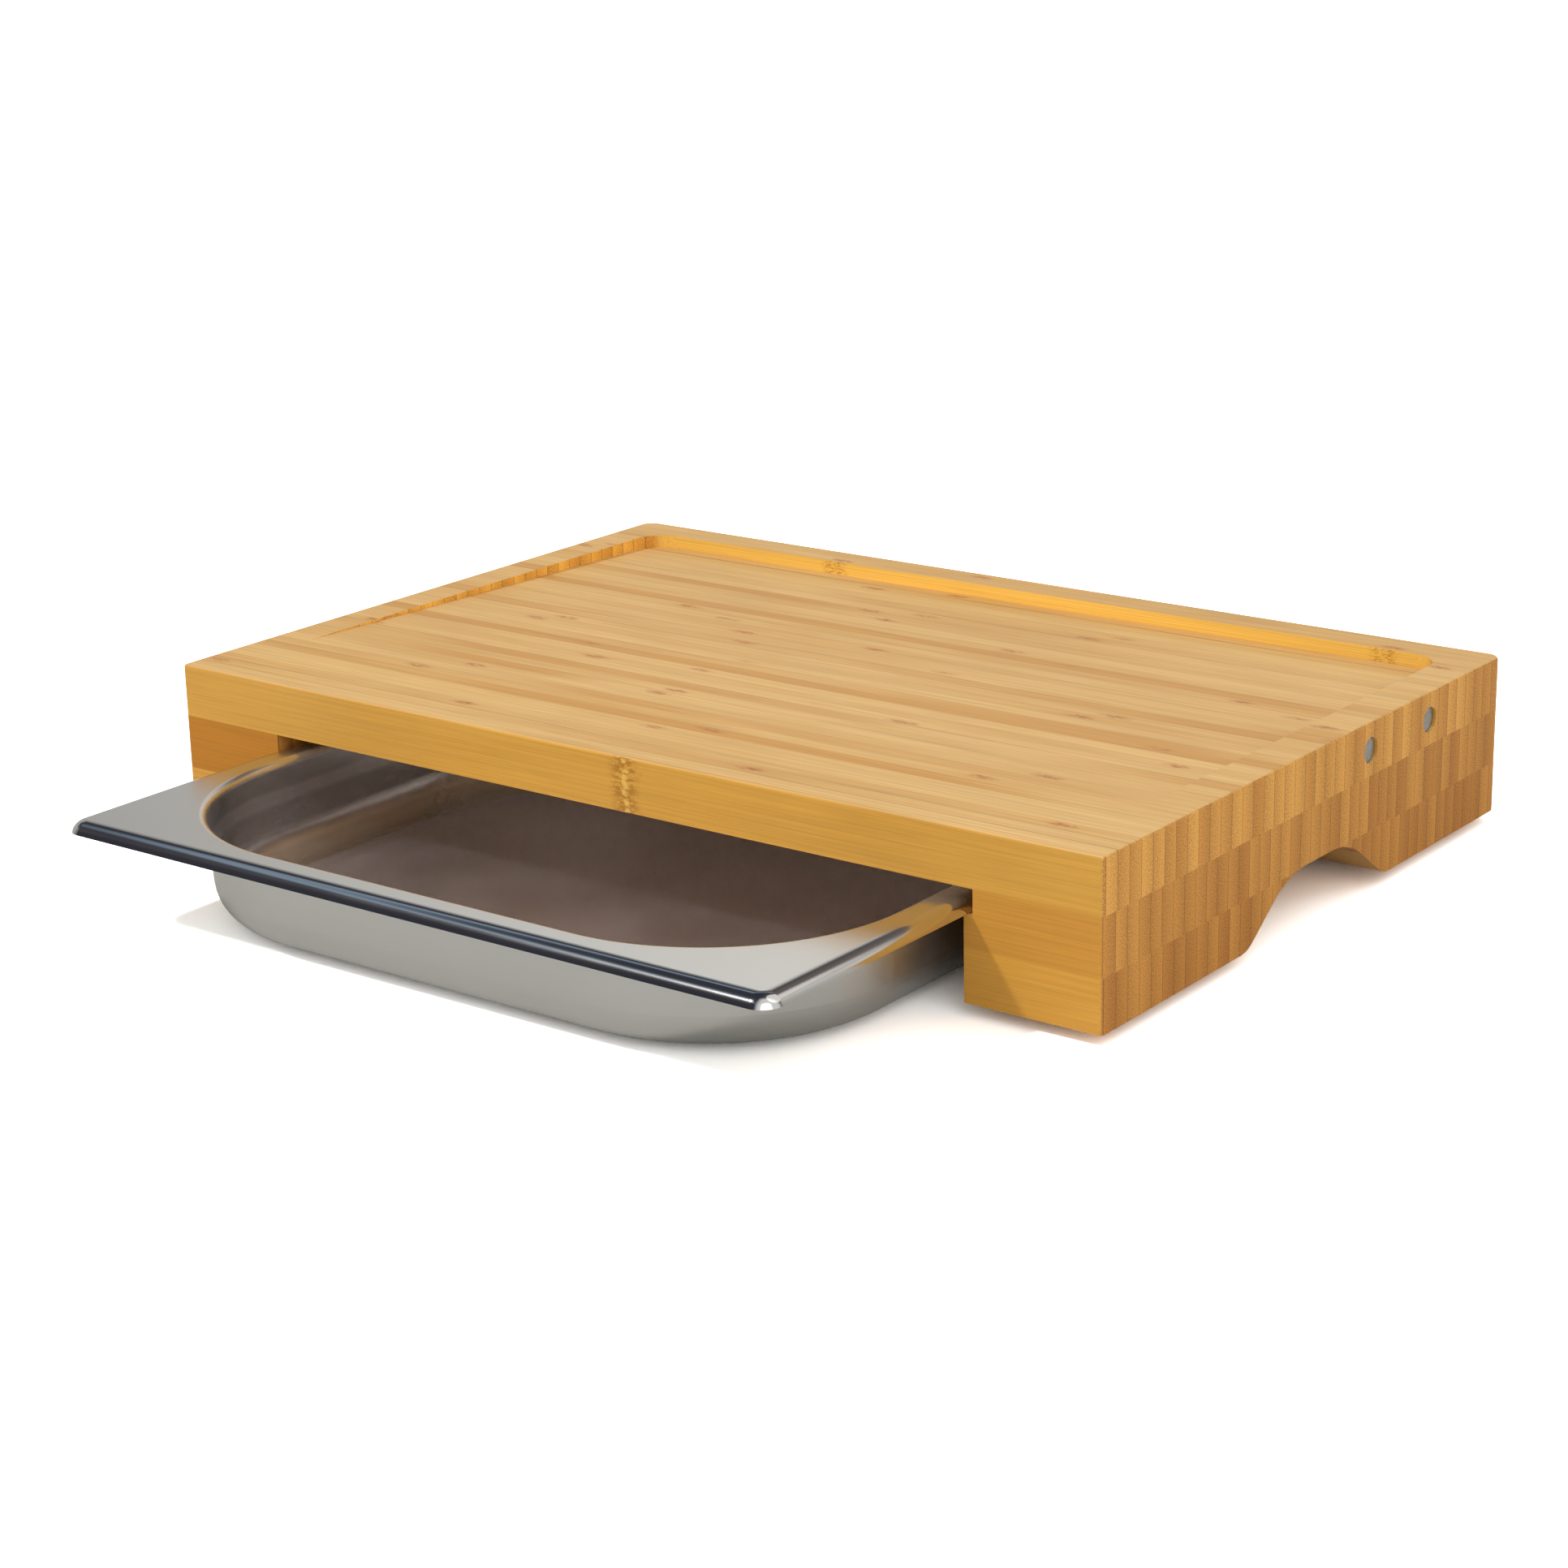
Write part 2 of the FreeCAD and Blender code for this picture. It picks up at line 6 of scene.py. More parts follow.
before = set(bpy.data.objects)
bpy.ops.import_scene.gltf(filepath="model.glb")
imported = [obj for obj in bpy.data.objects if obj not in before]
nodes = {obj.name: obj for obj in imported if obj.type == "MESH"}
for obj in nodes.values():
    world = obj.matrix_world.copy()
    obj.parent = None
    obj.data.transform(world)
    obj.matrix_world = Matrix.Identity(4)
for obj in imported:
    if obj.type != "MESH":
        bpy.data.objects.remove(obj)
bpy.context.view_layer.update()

# A bamboo cutting board with a pull-out steel tray. The wood runs along X in all three layers.
# Colours are linear RGB. Places in the materials are in millimetres; the depths of their bumps and
# all other lengths are in metres.

MM_PER_METRE = 1000.0


# ---------------------------------------------------------------- small node-graph kit

class Graph:
    """A short way to write a material's or the world's nodes."""

    def __init__(self, owner):
        owner.use_nodes = True
        self.tree = owner.node_tree
        self.tree.nodes.clear()

    def node(self, kind, **settings):
        made = self.tree.nodes.new(kind)
        for key, value in settings.items():
            setattr(made, key, value)
        return made

    def feed(self, socket, value):
        if value is None:
            return
        if isinstance(value, bpy.types.NodeSocket):
            self.tree.links.new(value, socket)
        else:
            socket.default_value = value

    def millimetres(self):
        """The place on the piece in millimetres, and its normal, both in the part's own frame."""
        coordinates = self.node("ShaderNodeTexCoord")
        scaled = self.node("ShaderNodeVectorMath", operation="SCALE")
        self.feed(scaled.inputs[0], coordinates.outputs["Object"])
        self.feed(scaled.inputs["Scale"], MM_PER_METRE)
        return scaled.outputs[0], coordinates.outputs["Normal"]

    def math(self, operation, a, b=None, c=None):
        made = self.node("ShaderNodeMath", operation=operation)
        for socket, value in zip(made.inputs, (a, b, c)):
            self.feed(socket, value)
        return made.outputs[0]

    def add(self, a, b):
        return self.math("ADD", a, b)

    def sub(self, a, b):
        return self.math("SUBTRACT", a, b)

    def mul(self, a, b):
        return self.math("MULTIPLY", a, b)

    def madd(self, a, b, c):
        return self.math("MULTIPLY_ADD", a, b, c)

    def step(self, value, low, high, out_low=0.0, out_high=1.0):
        """A smooth step of value from low to high."""
        made = self.node("ShaderNodeMapRange", interpolation_type="SMOOTHSTEP")
        for socket, item in zip(made.inputs, (value, low, high, out_low, out_high)):
            self.feed(socket, item)
        return made.outputs[0]

    def scale(self, value, low, high, out_low, out_high):
        """A straight, clamped change of range."""
        made = self.node("ShaderNodeMapRange", interpolation_type="LINEAR", clamp=True)
        for socket, item in zip(made.inputs, (value, low, high, out_low, out_high)):
            self.feed(socket, item)
        return made.outputs[0]

    def split(self, vector):
        made = self.node("ShaderNodeSeparateXYZ")
        self.feed(made.inputs[0], vector)
        return made.outputs

    def vector(self, x, y, z):
        made = self.node("ShaderNodeCombineXYZ")
        for socket, value in zip(made.inputs, (x, y, z)):
            self.feed(socket, value)
        return made.outputs[0]

    def noise(self, vector, scale=1.0, detail=2.0, rough=0.5):
        made = self.node("ShaderNodeTexNoise", noise_dimensions="3D")
        for name, value in (("Vector", vector), ("Scale", scale), ("Detail", detail), ("Roughness", rough)):
            self.feed(made.inputs[name], value)
        return made.outputs["Fac"]

    def stretched_noise(self, axes, scales, detail=2.0, rough=0.5):
        """Noise with a scale of its own along each of the three axes."""
        return self.noise(self.vector(*map(self.mul, axes, scales)), 1.0, detail, rough)

    def random(self, value):
        """Three random numbers that stay the same for one value."""
        made = self.node("ShaderNodeTexWhiteNoise", noise_dimensions="1D")
        self.feed(made.inputs["W"], value)
        return self.split(made.outputs["Color"])

    def cells(self, vector, scale, randomness):
        """The distance to the nearest of many scattered points in the vector's first two directions."""
        made = self.node("ShaderNodeTexVoronoi", voronoi_dimensions="2D", feature="F1")
        for name, value in (("Vector", vector), ("Scale", scale), ("Randomness", randomness)):
            self.feed(made.inputs[name], value)
        return made.outputs["Distance"]

    def mix(self, factor, a, b, blend="MIX"):
        made = self.node("ShaderNodeMix", data_type="RGBA", blend_type=blend)
        made.clamp_factor = True
        for socket, value in ((made.inputs[0], factor), (made.inputs[6], a), (made.inputs[7], b)):
            self.feed(socket, value if not isinstance(value, tuple) else (*value, 1.0))
        return made.outputs[2]

    def blend(self, factor, a, b):
        """A number between a and b."""
        made = self.node("ShaderNodeMix", data_type="FLOAT")
        made.clamp_factor = True
        for socket, value in zip((made.inputs[0], made.inputs[2], made.inputs[3]), (factor, a, b)):
            self.feed(socket, value)
        return made.outputs[0]

    def gain(self, color, amount):
        """A colour made lighter or darker by a number."""
        made = self.node("ShaderNodeVectorMath", operation="SCALE")
        self.feed(made.inputs[0], color)
        self.feed(made.inputs["Scale"], amount)
        return made.outputs[0]

    def bump(self, height, distance, strength=1.0, normal=None):
        made = self.node("ShaderNodeBump")
        for name, value in (("Height", height), ("Distance", distance), ("Strength", strength),
                            ("Normal", normal)):
            self.feed(made.inputs[name], value)
        return made.outputs[0]

    def surface(self, **sockets):
        """The principled shader, with its sockets given by name, as the material's surface."""
        shader = self.node("ShaderNodeBsdfPrincipled")
        for name, value in sockets.items():
            name = name.replace("_", " ")
            if isinstance(value, tuple):
                value = (*value, 1.0)
            self.feed(shader.inputs[name], value)
        output = self.node("ShaderNodeOutputMaterial")
        self.tree.links.new(shader.outputs[0], output.inputs["Surface"])


def srgb(red, green, blue):
    """A linear colour from the usual 0..255 values."""
    def channel(value):
        value /= 255
        return value / 12.92 if value <= 0.04045 else ((value + 0.055) / 1.055) ** 2.4
    return tuple(channel(v) for v in (red, green, blue))


# ---------------------------------------------------------------- bamboo

BOARD_FRONT = -91.0         # y of the board's front face
RECESS_BACK = 186.0         # y of the recess's back wall
RECESS_CORNER = 14.0        # its rounded corners end within this of the back wall
RECESS_LEFT_PART = -100.0   # the recess's left wall lies to the left of this x
FRONT_SKIN = 2.5            # how deep the front strip's knot reaches into the board
KNOT_SPACING = 268.0        # between two knots of one strip
FRONT_KNOT, RECESS_KNOT = 13.0, -96.0       # x of the knots on the front edge and in the recess
UNDERSIDE_PAINTED_LIGHT = (1.10, 1.33, 2.40)                # the panel underside's colour, as a share of its top's: painted paler and greyer, as painted light in the shaded bay
RECESS_ENDS = (1.34, 1.44, 1.10)            # the recess's end grain, as a share of the outer end grain
PLAIN = (1.0, 1.0, 1.0)


class Strips(Graph):
    """Bamboo strips on edge, glued side by side. The broad face of a strip looks forwards and
    backwards, its narrow edge up and down, and its end grain to the sides."""

    def __init__(self, material, width, offset, seed, recess):
        super().__init__(material)
        self.width, self.seed, self.recess = width, seed, recess
        place, facing = self.millimetres()
        self.place, self.normal = self.split(place), self.split(facing)
        self.toward_end = self.step(self.math("ABSOLUTE", self.normal[0]), 0.55, 0.8)
        self.toward_broad = self.step(self.math("ABSOLUTE", self.normal[1]), 0.6, 0.85)

        # which strip, how far across it, and three random numbers of its own
        x, y, z = self.place
        across = self.math("DIVIDE", self.sub(y, BOARD_FRONT + offset), width)
        self.strip = self.math("FLOOR", across)
        self.inside = self.math("FRACT", across)
        self.tone, self.phase, self.kind = self.random(self.madd(self.strip, 1.713, seed))

        # fibres: long thin streaks in every direction but across the grain
        self.fibre = (self.madd(self.phase, 700.0, x), y, self.madd(self.tone, 90.0, z))
        self.fine = self.stretched_noise(self.fibre, (0.011, 2.6, 2.6), 3.0, 0.62)
        self.middle = self.stretched_noise(self.fibre, (0.024, 1.05, 1.05), 2.0, 0.6)
        self.cloud = self.stretched_noise(self.fibre, (0.02, 0.06, 0.06))

        # the walls of the recess
        if recess:
            self.at_back = self.mul(self.math("GREATER_THAN", y, RECESS_BACK - RECESS_CORNER),
                                    self.step(self.normal[1], -0.2, -0.5))
            self.at_left = self.mul(self.math("LESS_THAN", x, RECESS_LEFT_PART),
                                    self.step(self.normal[0], 0.2, 0.5))

    def knot_distance(self, front_knot):
        """How far it is along the strip to its nearest knot."""
        x, y, _ = self.place
        start = self.mul(self.phase, KNOT_SPACING)
        start = self.blend(self.math("LESS_THAN", y, BOARD_FRONT + FRONT_SKIN), start, front_knot)
        if self.recess:
            start = self.blend(self.mul(self.at_back, self.toward_broad), start, RECESS_KNOT)
        wander = self.madd(self.stretched_noise(self.place, (0.05, 0.3, 0.30)), 7.0, -3.5)
        along = self.math("DIVIDE", self.sub(self.add(x, wander), start), KNOT_SPACING)
        nearest = self.math("ABSOLUTE", self.sub(self.math("FRACT", self.add(along, 0.5)), 0.5))
        return self.mul(nearest, KNOT_SPACING)

    def flecks(self, away):
        """A knot on the narrow edge: a small fleck of dashes inside the strip, and its darker heart."""
        ragged = self.stretched_noise(self.place, (0.34, 0.9, 0.9), 3.0, 0.6)
        torn = self.stretched_noise(self.place, (0.30, 1.7, 1.7), 3.0, 0.65)
        centre = self.madd(self.kind, 0.36, 0.32)
        off_centre = self.mul(self.math("ABSOLUTE", self.sub(self.inside, centre)), self.width)
        eye = self.math("SQRT", self.add(self.math("POWER", self.math("DIVIDE", away, 8.0), 2.0),
                                         self.math("POWER", self.math("DIVIDE", off_centre, 2.5), 2.0)))
        eye = self.madd(self.sub(ragged, 0.5), 1.5, eye)
        seen = self.step(self.tone, 0.05, 0.45)
        fleck = self.mul(self.mul(self.step(eye, 1.1, 0.3), self.step(torn, 0.37, 0.53)), seen)
        heart = self.mul(self.mul(self.step(eye, 0.5, 0.1), self.step(torn, 0.46, 0.56)), seen)
        return fleck, heart

    def narrow_edge(self, fleck, heart):
        """The colour on top and underneath."""
        area = self.stretched_noise(self.place, (0.005, 0.022, 0.022))
        broad = self.stretched_noise(self.fibre, (0.006, 0.55, 0.55))
        patch = self.noise(self.vector(self.mul(self.fibre[0], 0.0035), self.mul(self.strip, 5.1), self.seed))
        pale, deep, warm = srgb(226, 183, 116), srgb(209, 160, 90), srgb(205, 149, 76)
        tone = self.madd(self.sub(self.cloud, 0.5), 0.8,
                         self.madd(self.sub(area, 0.5), 1.3, self.mul(self.tone, 0.50)))
        color = self.mix(self.scale(tone, 0.0, 0.9, 0.0, 1.0), pale, deep)
        warmth = self.mul(self.step(self.kind, 0.62, 0.72, 0.0, 0.85), self.step(patch, 0.44, 0.60))
        color = self.mix(warmth, color, warm)
        color = self.gain(color, self.scale(self.fine, 0.25, 0.75, 0.77, 1.18))
        color = self.gain(color, self.scale(self.middle, 0.25, 0.75, 0.91, 1.07))
        color = self.gain(color, self.scale(broad, 0.3, 0.7, 0.97, 1.03))
        color = self.mix(self.mul(fleck, 0.88), color, srgb(188, 120, 62))
        return self.mix(self.mul(heart, 0.50), color, srgb(142, 84, 44))

    def broad_face(self, away, tint):
        """The colour in front and behind, where a knot is a band of short dark and light dashes."""
        x, _, z = self.place
        dashes = self.stretched_noise(self.place, (0.42, 0.5, 1.25), 2.0, 0.7)
        gaps = self.noise(self.vector(self.mul(x, 0.2), 0.0, self.mul(z, 0.9)))
        band = self.mul(self.step(away, 8.0, 2.0), self.step(dashes, 0.42, 0.56))
        core = self.mul(self.step(away, 1.6, 0.5), self.step(gaps, 0.38, 0.5))
        tone = self.madd(self.sub(self.cloud, 0.5), 0.8, self.madd(self.tone, 0.4, 0.3))
        face = self.mix(self.scale(tone, 0.0, 1.0, 0.0, 1.0), srgb(222, 166, 70), srgb(206, 149, 52))
        face = self.gain(face, self.scale(self.fine, 0.25, 0.75, 0.85, 1.12))
        face = self.gain(face, self.scale(self.middle, 0.25, 0.75, 0.92, 1.06))
        face = self.mix(self.mul(band, 0.7), face, srgb(160, 98, 20))
        face = self.mix(self.mul(core, 0.6), face, srgb(246, 200, 100))
        if self.recess:
            # painted light: the recess's back wall, which faces the key lamp, is painted lighter than the
            # other broad faces
            light = self.gain(srgb(242, 193, 87), self.scale(self.fine, 0.25, 0.75, 0.78, 1.19))
            face = self.mix(self.mul(self.at_back, self.sub(1.0, self.mul(band, 0.7))), face, light)
            # painted light: the panel's broad faces are painted lighter towards the middle and darker towards
            # the ends
            face = self.gain(face, self.scale(self.math("ABSOLUTE", x), 60.0, 175.0, 1.08, 0.95))
        return self.mix(1.0, face, tint, "MULTIPLY")

    def end_grain(self):
        """The colour at the sides, and its dark fibre bundles, closer together on a strip's skin side."""
        _, y, z = self.place
        flip = self.math("GREATER_THAN", self.kind, 0.5)
        skin = self.blend(flip, self.inside, self.sub(1.0, self.inside))
        plane = self.vector(self.madd(self.phase, 60.0, y), self.madd(self.tone, 50.0, z), 0.0)
        size = self.scale(skin, 0.0, 1.0, 0.22, 0.42)
        bundles = self.step(self.cells(plane, 1.1, 0.7), self.add(size, 0.12), self.sub(size, 0.1))
        pores = self.step(self.cells(plane, 1.9, 0.9), 0.42, 0.12)
        tone = self.madd(self.sub(skin, 0.5), 0.25, self.tone)
        ends = self.mix(self.scale(tone, 0.0, 1.0, 0.0, 1.0), srgb(226, 162, 72), srgb(194, 127, 46))
        ends = self.gain(ends, self.scale(skin, 0.0, 1.0, 1.05, 0.94))
        ends = self.mix(self.mul(bundles, 0.42), ends, srgb(142, 84, 24))
        ends = self.mix(self.mul(pores, 0.50), ends, srgb(250, 200, 108))
        if self.recess:
            pale = self.mix(1.0, ends, RECESS_ENDS, "MULTIPLY")
            ends = self.mix(self.math("MAXIMUM", self.at_back, self.at_left), ends, pale)
        return ends, bundles

    def glue_lines(self):
        """How strongly a glue line shows. Some are hardly visible."""
        seam_now = self.random(self.madd(self.strip, 2.377, self.seed + 31.0))[0]
        seam_next = self.random(self.madd(self.add(self.strip, 1.0), 2.377, self.seed + 31.0))[0]
        low, high = self.step(self.inside, 0.05, 0.012), self.step(self.inside, 0.95, 0.988)
        line = self.math("MAXIMUM", self.mul(low, self.math("POWER", seam_now, 3.0)),
                         self.mul(high, self.math("POWER", seam_next, 3.0)))
        halo = self.mul(self.step(self.inside, 0.30, 0.0), self.math("POWER", seam_now, 5.0))
        x = self.place[0]
        patch = self.noise(self.vector(self.mul(x, 0.012), self.mul(self.strip, 7.3), self.seed))
        line = self.mul(self.add(line, self.mul(halo, 0.22)), self.mul(self.step(patch, 0.36, 0.56), 0.80))
        line = self.blend(self.toward_end, line, self.mul(self.math("MAXIMUM", low, high), 0.55))
        return self.mul(line, self.sub(1.0, self.toward_broad))


def bamboo(name, width, offset, seed, front_knot=0.0, tint=PLAIN, face_tint=PLAIN, recess=False):
    """One layer's wood. The panel, which has the recess, is also the ceiling of the tray's bay, and
    its underside is painted paler and greyer: painted light for the shaded bay, which the pan reflects."""
    material = bpy.data.materials.new(name)
    g = Strips(material, width, offset, seed, recess)
    away = g.knot_distance(front_knot)
    fleck, heart = g.flecks(away)
    ends, bundles = g.end_grain()
    glue = g.glue_lines()
    color = g.mix(g.toward_broad, g.narrow_edge(fleck, heart), g.broad_face(away, face_tint))
    color = g.mix(g.toward_end, color, ends)
    color = g.mix(glue, color, srgb(142, 86, 38))
    color = g.mix(1.0, color, tint, "MULTIPLY")
    if recess:
        # painted light: the downward-facing underside is painted paler and greyer
        painted_light_underside = g.mix(1.0, color, UNDERSIDE_PAINTED_LIGHT, "MULTIPLY")
        color = g.mix(g.step(g.normal[2], -0.5, -0.9), color, painted_light_underside)
    rough = g.blend(g.toward_end, g.scale(g.fine, 0.2, 0.8, 0.50, 0.62), 0.66)
    grain = g.blend(g.toward_end, g.fine, g.sub(1.0, g.mul(bundles, 0.8)))
    shape = g.bump(grain, 0.00006, 0.35)
    shape = g.bump(g.mul(g.math("MAXIMUM", glue, g.mul(fleck, 0.3)), -1.0), 0.0001, 0.4, shape)
    g.surface(Base_Color=color, Roughness=rough, Normal=shape, Specular_IOR_Level=0.4)
    return material


RAIL_STRIPS = dict(width=7.36, offset=0.6, seed=57.0, tint=(0.85, 0.79, 0.70))
panel_wood = bamboo("bamboo_panel", width=7.43, offset=1.6, seed=4.0, front_knot=FRONT_KNOT, recess=True)
left_rail_wood = bamboo("bamboo_left_rail", face_tint=(0.865, 0.685, 0.10), **RAIL_STRIPS)
rail_wood = bamboo("bamboo_rails", face_tint=(1.06, 1.01, 0.95), **RAIL_STRIPS)
leg_wood = bamboo("bamboo_legs", width=7.48, offset=1.0, seed=113.0, tint=(0.80, 0.72, 0.60),
                  face_tint=(1.23, 1.29, 1.41))


# ---------------------------------------------------------------- metal and rubber

TRAY_CENTRE = -70.5                         # y of the tray's middle
MOUTH_X, MOUTH_Y = 151.0, 121.5             # half the pan's mouth, at the outside of its bend
BEND_TOP, BEND_FOOT = 41.2, 39.0            # z of the mouth's bend
UPPER_RING, LOWER_RING = 29.0, 13.0         # z of each ring pressed into the walls; along each the inside is painted lighter, a painted highlight
SOFT_EDGE = 0.5
RIM, PAN_OUTSIDE = (0.635, 0.63, 0.605), (0.54, 0.54, 0.515)
# the inside's steel, painted lighter than the rim and bluer on the floor: painted light for the shaded bay
PAN_WALL_PAINTED_LIGHT, PAN_FLOOR_PAINTED_LIGHT = (0.77, 0.765, 0.76), (0.84, 0.815, 0.88)


def steel():
    """Pressed stainless sheet: bright at the bends, satin on the rim, and a hazier, rougher inside that is
    painted lighter than the rim, and bluer on its floor, as painted light for the shaded bay, with painted
    highlight bands at the two ring heights.
    """
    material = bpy.data.materials.new("stainless_sheet")
    g = Graph(material)
    place, facing = g.millimetres()
    x, y, z = g.split(place)
    nx, ny, up = g.split(facing)
    flat = g.step(g.math("ABSOLUTE", up), 0.97, 0.995)
    forward = g.sub(y, TRAY_CENTRE)
    within = g.mul(g.step(g.math("ABSOLUTE", x), MOUTH_X + SOFT_EDGE, MOUTH_X - SOFT_EDGE),
                   g.step(g.math("ABSOLUTE", forward), MOUTH_Y + SOFT_EDGE, MOUTH_Y - SOFT_EDGE))
    pan = g.mul(within, g.step(z, BEND_TOP, BEND_FOOT))
    inward = g.madd(nx, g.mul(x, -1.0), g.mul(ny, g.mul(forward, -1.0)))
    inside = g.mul(pan, g.math("MAXIMUM", g.step(inward, 0.0, 4.0), g.step(up, 0.2, 0.5)))
    brushed = g.stretched_noise((x, y, z), (0.03, 5.0, 5.0), 3.0, 0.7)
    smudge = g.stretched_noise((x, y, z), (0.02, 0.02, 0.05), 3.0, 0.55)
    rough = g.blend(flat, g.blend(within, 0.11, 0.26), 0.22)
    rough = g.blend(pan, rough, g.blend(inside, 0.42, g.blend(flat, 0.27, 0.38)))
    varied = g.madd(g.sub(smudge, 0.5), 0.5, g.madd(g.sub(brushed, 0.5), 0.25, 1.0))
    tone = g.scale(smudge, 0.25, 0.75, 0.95, 1.03)
    # painted highlights: the inside walls are painted lighter in bands along the two ring heights
    ring_highlights = g.add(g.mul(g.step(g.math("ABSOLUTE", g.sub(z, UPPER_RING)), 4.0, 1.0), 0.35),
                  g.mul(g.step(g.math("ABSOLUTE", g.sub(z, LOWER_RING)), 5.0, 1.5), 0.45))
    tone = g.madd(g.mul(g.mul(inside, ring_highlights), g.step(up, 0.9, 0.6)), 1.0, tone)
    color = g.mix(pan, RIM, PAN_OUTSIDE)
    # painted light: the inside is painted lighter than the rim, and bluer on its floor
    painted_light_inside = g.mix(flat, PAN_WALL_PAINTED_LIGHT, PAN_FLOOR_PAINTED_LIGHT)
    color = g.gain(g.mix(inside, color, painted_light_inside), tone)
    g.surface(Base_Color=color, Metallic=1.0, Roughness=g.mul(rough, varied),
              Specular_IOR_Level=0.2, Normal=g.bump(brushed, 0.000012, g.blend(pan, 0.3, 0.12)))
    return material


def nickel():
    """The magnets' plating, dulled by handling."""
    material = bpy.data.materials.new("nickel_plate")
    g = Graph(material)
    place, _ = g.millimetres()
    wear = g.noise(place, 0.9, 4.0, 0.65)
    color = g.mix(g.step(wear, 0.35, 0.7), (0.40, 0.385, 0.355), (0.27, 0.26, 0.235))
    g.surface(Base_Color=color, Metallic=1.0, Roughness=g.scale(wear, 0.2, 0.8, 0.32, 0.5),
              Normal=g.bump(wear, 0.00004, 0.3))
    return material


def rubber():
    """Dark soft feet, a little dusty."""
    material = bpy.data.materials.new("foot_rubber")
    g = Graph(material)
    place, _ = g.millimetres()
    grit = g.noise(place, 2.2, 4.0, 0.7)
    dust = g.noise(place, 0.25, 2.0, 0.5)
    color = g.mix(g.step(dust, 0.4, 0.75), (0.030, 0.027, 0.024), (0.062, 0.056, 0.050))
    g.surface(Base_Color=color, Roughness=g.scale(grit, 0.2, 0.8, 0.6, 0.8),
              Normal=g.bump(grit, 0.00008, 0.4))
    return material


def zinc():
    """Foot screws: pale zinc with a faint bloom."""
    material = bpy.data.materials.new("zinc_plate")
    g = Graph(material)
    place, _ = g.millimetres()
    bloom = g.noise(place, 1.6, 3.0, 0.6)
    color = g.mix(g.step(bloom, 0.35, 0.7), (0.55, 0.55, 0.56), (0.42, 0.42, 0.43))
    g.surface(Base_Color=color, Metallic=1.0, Roughness=g.scale(bloom, 0.2, 0.8, 0.28, 0.45))
    return material


def dress(material, *names):
    for name in names:
        slots = nodes[name].data.materials
        slots.clear()
        slots.append(material)


corners = ("front_left", "front_right", "rear_left", "rear_right")
dress(panel_wood, "top_panel")
dress(left_rail_wood, "left_rail")
dress(rail_wood, "right_rail", "back_rail")
dress(leg_wood, "back_sill", *(corner + "_leg" for corner in corners))
dress(steel(), "tray")
dress(nickel(), "front_magnet", "rear_magnet")
dress(rubber(), *(corner + "_foot" for corner in corners))
dress(zinc(), *(corner + "_foot_screw" for corner in corners))


# ---------------------------------------------------------------- floor, light and camera

# the camera, fitted to the corners of the board and the tray in the photograph
AZIMUTH, ELEVATION, ROLL = math.radians(37.4031), math.radians(17.5332), math.radians(-1.2081)
DISTANCE, FOCAL_PIXELS, IMAGE_PIXELS = 1.32, 4168.59, 1932
TARGET = Vector((-0.00074, 0.02139, 0.02508))

FLOOR_SIZE, FLOOR_DROP = 40.0, 0.0002
FLOOR_SHOWN = (2.40, 2.38, 2.36)
FLOOR_MIRRORED = (0.78, 0.77, 0.745)
FLOOR_BOUNCE = (0.80, 0.80, 0.80)
BACKDROP = (1.05, 1.04, 1.01)
FRONT_ROOM = (0.042, 0.042, 0.058)
RIGHT_ROOM = (0.20, 0.165, 0.15)
FRONT_RIGHT_ROOM = (0.88, 0.88, 0.89)
SKYLIGHT, SKYLIGHT_HEIGHT = (0.32, 0.42, 0.55), 0.72
AMBIENT = (0.50, 0.502, 0.505)
AMBIENT_FROM_RIGHT, AMBIENT_FROM_FRONT = 0.30, 0.36


def white_floor():
    """A pale sweep. In plain view its colour is well over 1, so that it clips to white and only the
    object's closer shadows are left on it. For the light that it gives back it is a pale grey."""
    bpy.ops.mesh.primitive_plane_add(size=FLOOR_SIZE, location=(0.0, 0.0, -FLOOR_DROP))
    floor = bpy.context.object
    floor.name = "studio_floor"
    material = bpy.data.materials.new("studio_floor")
    g = Graph(material)
    path = g.node("ShaderNodeLightPath")
    mirrored = g.math("MAXIMUM", path.outputs["Is Glossy Ray"], path.outputs["Is Transmission Ray"])
    color = g.mix(mirrored, FLOOR_BOUNCE, FLOOR_MIRRORED)
    color = g.mix(path.outputs["Is Camera Ray"], color, FLOOR_SHOWN)
    diffuse = g.node("ShaderNodeBsdfDiffuse")
    g.feed(diffuse.inputs["Color"], color)
    output = g.node("ShaderNodeOutputMaterial")
    g.tree.links.new(diffuse.outputs[0], output.inputs["Surface"])
    floor.data.materials.append(material)


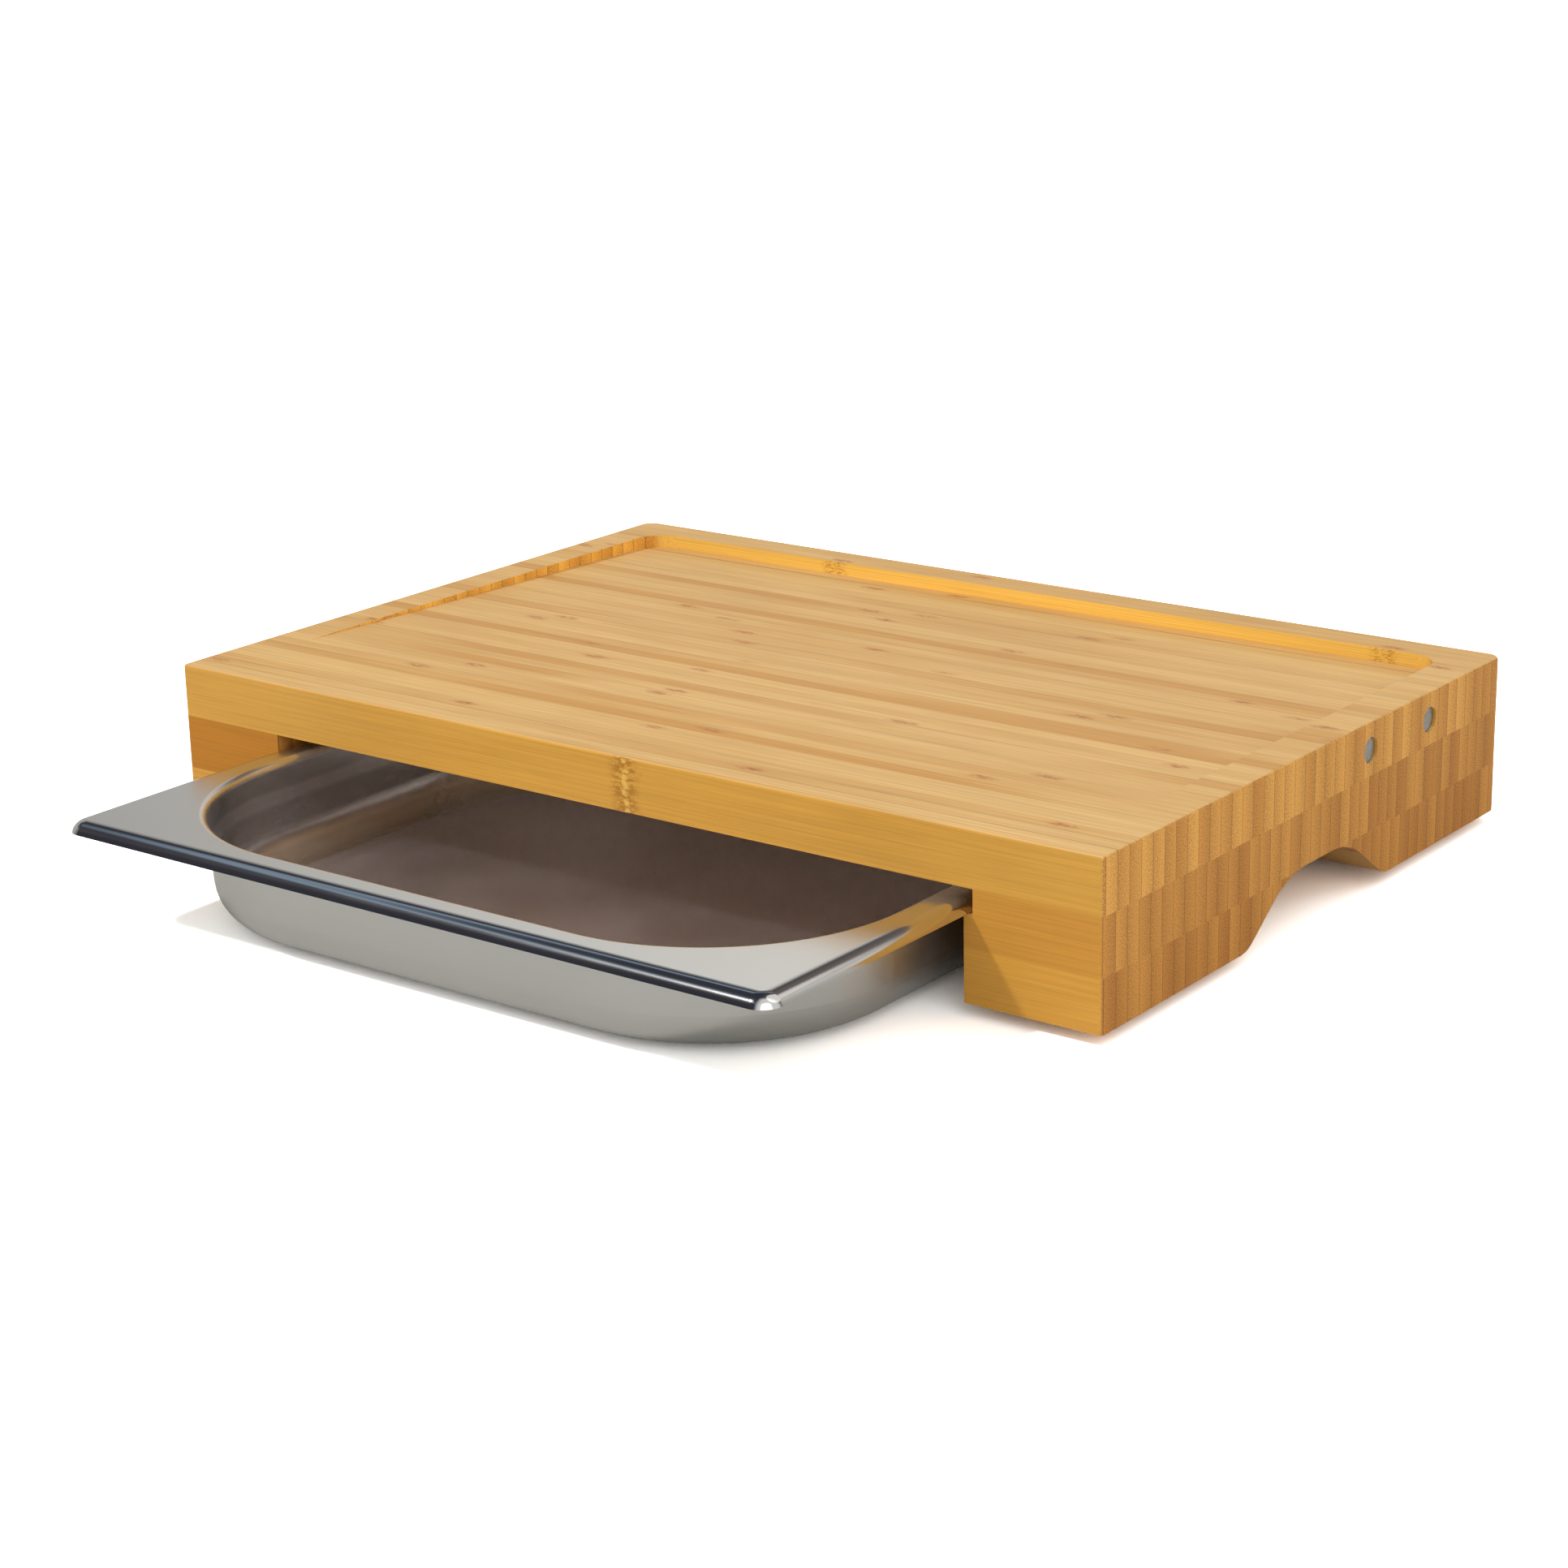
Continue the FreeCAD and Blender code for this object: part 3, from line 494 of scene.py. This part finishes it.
def studio_world():
    """White to the camera. To metal, a white backdrop behind on the left, a brownish room behind on
    the right, a pale one in front on the right and a dark one in front on the left, with one strip
    of skylight. To the rest, a soft light, nearly three times as strong from the front right as from
    the back left."""
    world = bpy.data.worlds.new("studio")
    bpy.context.scene.world = world
    g = Graph(world)
    path = g.node("ShaderNodeLightPath")
    dx, dy, dz = g.split(g.node("ShaderNodeTexCoord").outputs["Generated"])
    deep = g.add(g.mul(dx, -math.sin(AZIMUTH)), g.mul(dy, math.cos(AZIMUTH)))
    side = g.add(g.mul(dx, -math.cos(AZIMUTH)), g.mul(dy, -math.sin(AZIMUTH)))
    back = g.mul(g.step(dz, 0.60, 0.40), g.step(deep, 0.0, 0.45))
    sheet = g.gain(BACKDROP, g.scale(side, 0.0, 0.20, 1.0, 0.50))
    room = g.mix(g.step(side, 0.10, -0.70), FRONT_ROOM, RIGHT_ROOM)
    room = g.mix(g.mul(g.step(dx, -0.15, 0.25), g.step(deep, 0.10, -0.25)), room, FRONT_RIGHT_ROOM)
    strip = g.mul(g.step(g.math("ABSOLUTE", g.sub(dz, SKYLIGHT_HEIGHT)), 0.055, 0.0), g.step(dx, 0.0, -0.3))
    room = g.mix(strip, room, SKYLIGHT)
    room = g.mix(back, room, sheet)
    ambient = g.gain(AMBIENT, g.madd(dy, -AMBIENT_FROM_FRONT, g.madd(dx, AMBIENT_FROM_RIGHT, 1.0)))
    light = g.mix(path.outputs["Is Diffuse Ray"], room, ambient)
    seen = g.mix(path.outputs["Is Camera Ray"], light, PLAIN)
    background = g.node("ShaderNodeBackground")
    g.feed(background.inputs["Color"], seen)
    output = g.node("ShaderNodeOutputWorld")
    g.tree.links.new(background.outputs[0], output.inputs["Surface"])


def area_light(name, place, size, power, color=PLAIN):
    """A round lamp of a diameter and a power that looks at the board."""
    data = bpy.data.lights.new(name, "AREA")
    data.shape = "DISK"
    data.size = size
    data.energy = power
    data.color = color
    lamp = bpy.data.objects.new(name, data)
    lamp.location = place
    lamp.rotation_euler = (BOARD_CENTRE - Vector(place)).to_track_quat("-Z", "Y").to_euler()
    bpy.context.scene.collection.objects.link(lamp)


BOARD_CENTRE = Vector((0.0, 0.04, 0.03))
KEY_DIRECTION, KEY_DISTANCE = Vector((-0.61, -0.75, 1.0)).normalized(), 4.0

white_floor()
studio_world()
area_light("key_light", BOARD_CENTRE + KEY_DIRECTION * KEY_DISTANCE, size=0.30, power=75.0,
           color=(1.0, 0.98, 0.95))
area_light("top_fill", (1.1, 0.8, 1.9), size=2.2, power=9.5)
area_light("side_fill", (1.9, -1.4, 1.25), size=2.4, power=12.0)


def photo_camera():
    """The camera at the photograph's place, with its slight roll."""
    back = Vector((math.sin(AZIMUTH) * math.cos(ELEVATION), -math.cos(AZIMUTH) * math.cos(ELEVATION),
                   math.sin(ELEVATION)))
    right = Vector((0, 0, 1)).cross(back).normalized()
    up = back.cross(right)
    rolled_right = right * math.cos(ROLL) + up * math.sin(ROLL)
    rolled_up = up * math.cos(ROLL) - right * math.sin(ROLL)
    data = bpy.data.cameras.new("photo_camera")
    data.sensor_width = 36.0
    data.lens = FOCAL_PIXELS / IMAGE_PIXELS * data.sensor_width
    camera = bpy.data.objects.new("photo_camera", data)
    camera.matrix_world = Matrix.Translation(TARGET + back * DISTANCE) @ Matrix(
        (rolled_right, rolled_up, back)).transposed().to_4x4()
    bpy.context.scene.collection.objects.link(camera)
    bpy.context.scene.camera = camera


photo_camera()
bpy.context.scene.view_settings.view_transform = "Standard"
